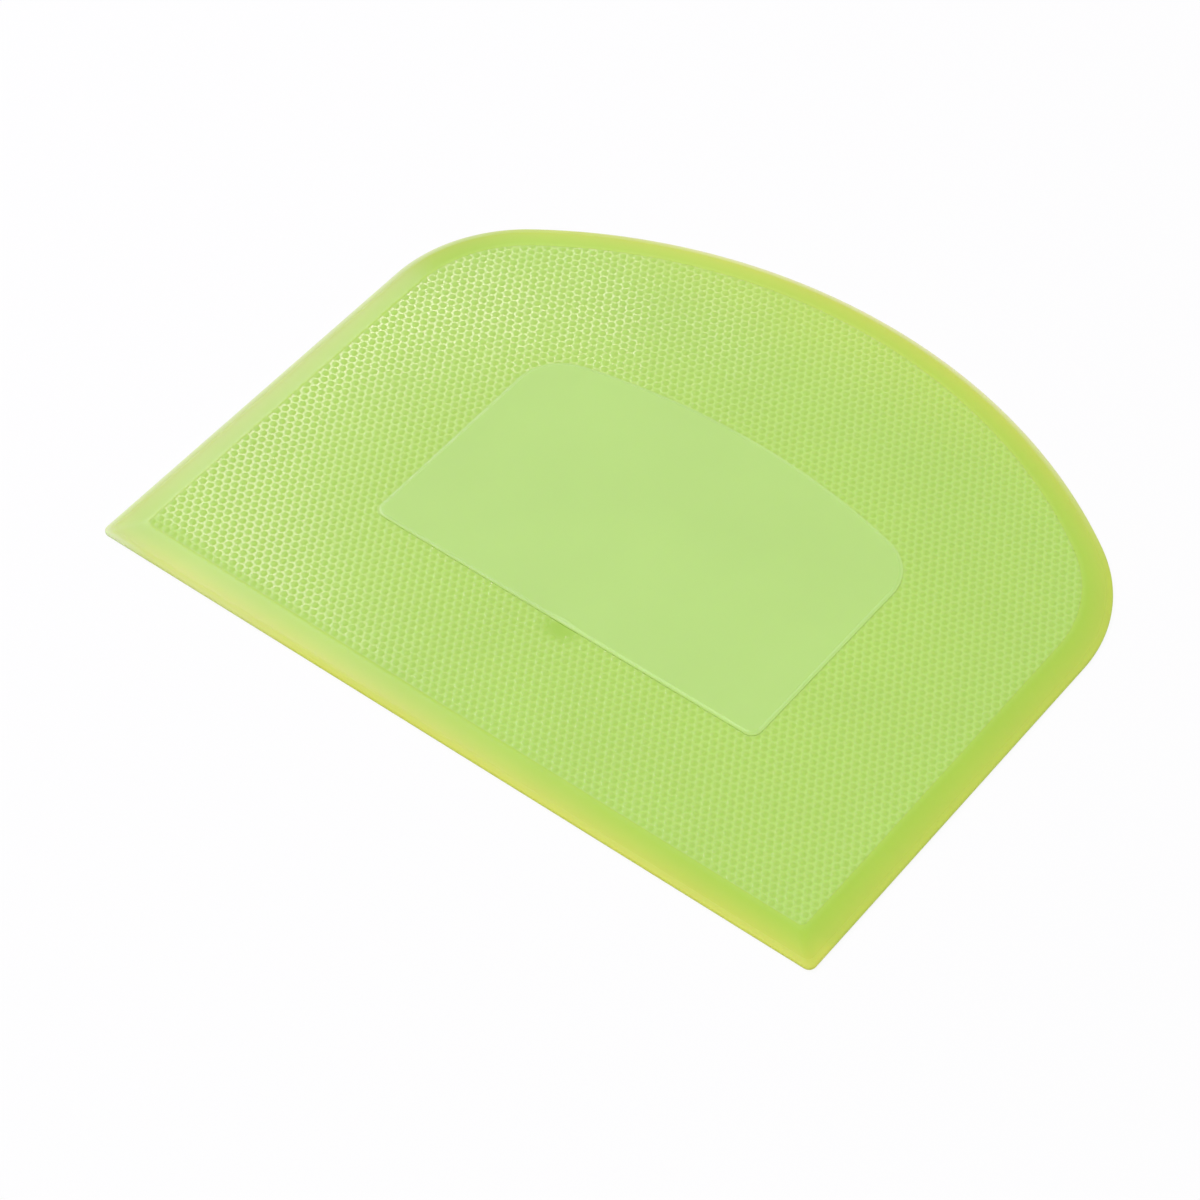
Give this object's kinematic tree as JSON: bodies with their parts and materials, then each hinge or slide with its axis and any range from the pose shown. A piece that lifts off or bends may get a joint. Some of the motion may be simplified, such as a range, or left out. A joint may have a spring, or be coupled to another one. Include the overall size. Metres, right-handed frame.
{
  "type": "bowl scraper",
  "caption": "Thin D-shaped plastic scraper with a straight edge, a curved edge, a bevelled rim all round, a honeycomb grip field and a smooth bare panel.",
  "frame": {"origin": "middle of the bounding box, on the flat underside", "axes": "+X along the straight scraping edge, +Y from the straight edge towards the curved edge, +Z out of the textured face"},
  "size_m": [0.12, 0.1024, 0.0018],
  "materials": {
    "plate_plastic": "translucent lime green plastic, moulded honeycomb grip texture",
    "lip_plastic": "translucent lime green plastic, smooth, yellower towards the thin outer edge",
    "panel_plastic": "translucent lime green plastic, smooth satin, bare"
  },
  "bodies": {
    "root": {"grip_plate": "plate_plastic", "scraping_lip": "lip_plastic", "label_panel": "panel_plastic"}
  },
  "joints": []
}
